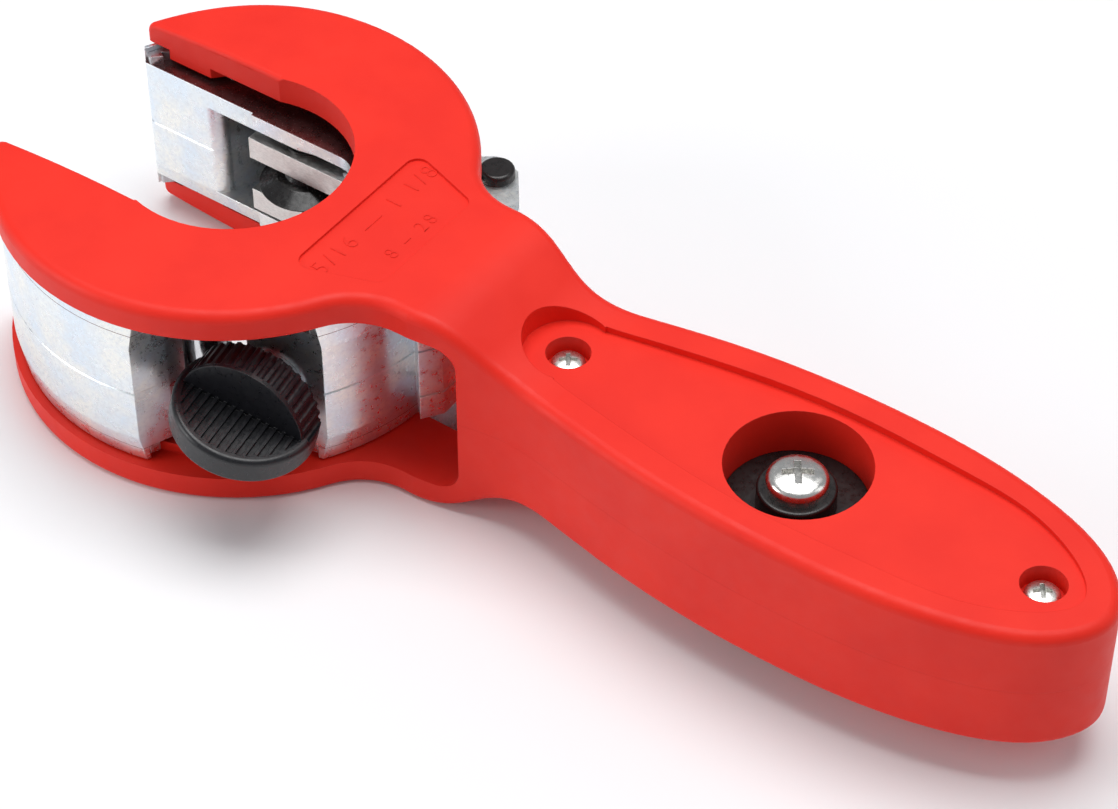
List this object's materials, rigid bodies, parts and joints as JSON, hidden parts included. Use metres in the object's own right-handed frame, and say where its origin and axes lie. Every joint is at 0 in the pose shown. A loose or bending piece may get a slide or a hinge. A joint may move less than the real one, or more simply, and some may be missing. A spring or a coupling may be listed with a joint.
{
  "type": "ratcheting pipe cutter",
  "caption": "Hand pipe cutter whose C-shaped cutting head turns and ratchets in a forked grip, with a cutter wheel opposite a screw-fed roller carriage.",
  "frame": {"origin": "on the turning axis of the head, which is the tube's axis, at the parting plane of the two halves", "axes": "+X along the grip to its end, +Y towards the cutter wheel's side, +Z along the tube's axis, up as the tool lies on its cheek"},
  "size_m": [0.1966, 0.0828, 0.0404],
  "materials": {
    "handle_plastic": "vivid red with a fine moulded grain",
    "zinc_plate": "bright zinc plate, satin, faintly mottled",
    "zinc_screw": "bright zinc plate",
    "nickel": "bright nickel plate",
    "black_oxide": "black oxide, satin",
    "knob_black": "black, satin",
    "hard_steel": "ground and hardened",
    "spring_steel": "drawn wire",
    "arm_steel": "plated, brushed along its length",
    "wheel_steel": "dark hardened tool steel",
    "roller_steel": "polished",
    "brass": "turned"
  },
  "bodies": {
    "handle": {"upper_handle_shell": "handle_plastic", "lower_handle_shell": "handle_plastic", "case_screws": "zinc_screw", "case_inserts": "brass", "upper_centre_bush": "black_oxide", "lower_centre_bush": "black_oxide", "centre_screw": "nickel", "centre_nut": "nickel", "upper_pawl_spring": "spring_steel", "lower_pawl_spring": "spring_steel"},
    "upper_pawl": {"upper_pawl": "hard_steel"},
    "lower_pawl": {"lower_pawl": "hard_steel"},
    "head": {"upper_head_shell": "zinc_plate", "lower_head_shell": "zinc_plate", "upper_ratchet_ring": "hard_steel", "lower_ratchet_ring": "hard_steel", "head_screws": "zinc_screw", "head_nuts": "zinc_screw", "arm_pivot_pin": "hard_steel", "arm_pivot_cap": "black_oxide", "wheel_spring": "spring_steel", "thrust_washer": "hard_steel"},
    "wheel_arm": {"wheel_arm": "arm_steel", "wheel_pin": "hard_steel", "wheel_clip": "black_oxide"},
    "cutter_wheel": {"cutter_wheel": "wheel_steel"},
    "roller_carriage": {"roller_carriage": "arm_steel", "roller_pins": "hard_steel"},
    "left_roller": {"left_roller": "roller_steel"},
    "right_roller": {"right_roller": "roller_steel"},
    "feed_knob": {"feed_knob": "knob_black", "feed_screw": "hard_steel", "knob_pin": "hard_steel", "screw_clip": "black_oxide"}
  },
  "joints": [
    {"name": "head_turn", "type": "hinge", "parent": "handle", "child": "head", "pos_m": [0, 0, 0], "axis": [0, 0, 1], "continuous": true},
    {"name": "upper_pawl_slide", "type": "slide", "parent": "handle", "child": "upper_pawl", "axis": [1, 0, 0], "range_m": [-0.0014, 0], "stiffness_N_per_m": 200, "springref_m": 0.002, "deforming": ["upper_pawl_spring"]},
    {"name": "lower_pawl_slide", "type": "slide", "parent": "handle", "child": "lower_pawl", "axis": [1, 0, 0], "range_m": [-0.0014, 0], "stiffness_N_per_m": 200, "springref_m": 0.002, "deforming": ["lower_pawl_spring"]},
    {"name": "arm_tilt", "type": "hinge", "parent": "head", "child": "wheel_arm", "pos_m": [0.031, 0.029, 0], "axis": [0, 0, 1], "range_deg": [-3, 0], "stiffness_Nm_per_rad": 2, "springref_deg": 2.86, "deforming": ["wheel_spring"]},
    {"name": "wheel_spin", "type": "hinge", "parent": "wheel_arm", "child": "cutter_wheel", "pos_m": [-0.0013, 0.0189, 0], "axis": [0, 0, 1], "continuous": true},
    {"name": "feed_turn", "type": "hinge", "parent": "head", "child": "feed_knob", "pos_m": [0.0249, -0.0266, 0], "axis": [-0.1736, 0.9848, 0], "range_deg": [0, 6300]},
    {"name": "roller_feed", "type": "slide", "parent": "head", "child": "roller_carriage", "axis": [-0.1736, 0.9848, 0], "range_m": [0, 0.02625]},
    {"name": "left_roller_spin", "type": "hinge", "parent": "roller_carriage", "child": "left_roller", "pos_m": [0.00158, -0.02477, 0], "axis": [0, 0, 1], "continuous": true},
    {"name": "right_roller_spin", "type": "hinge", "parent": "roller_carriage", "child": "right_roller", "pos_m": [0.01143, -0.02304, 0], "axis": [0, 0, 1], "continuous": true}
  ],
  "couplings": [
    {"joint": "feed_turn", "follows": "roller_feed", "rad_per_m": 4188.8}
  ]
}
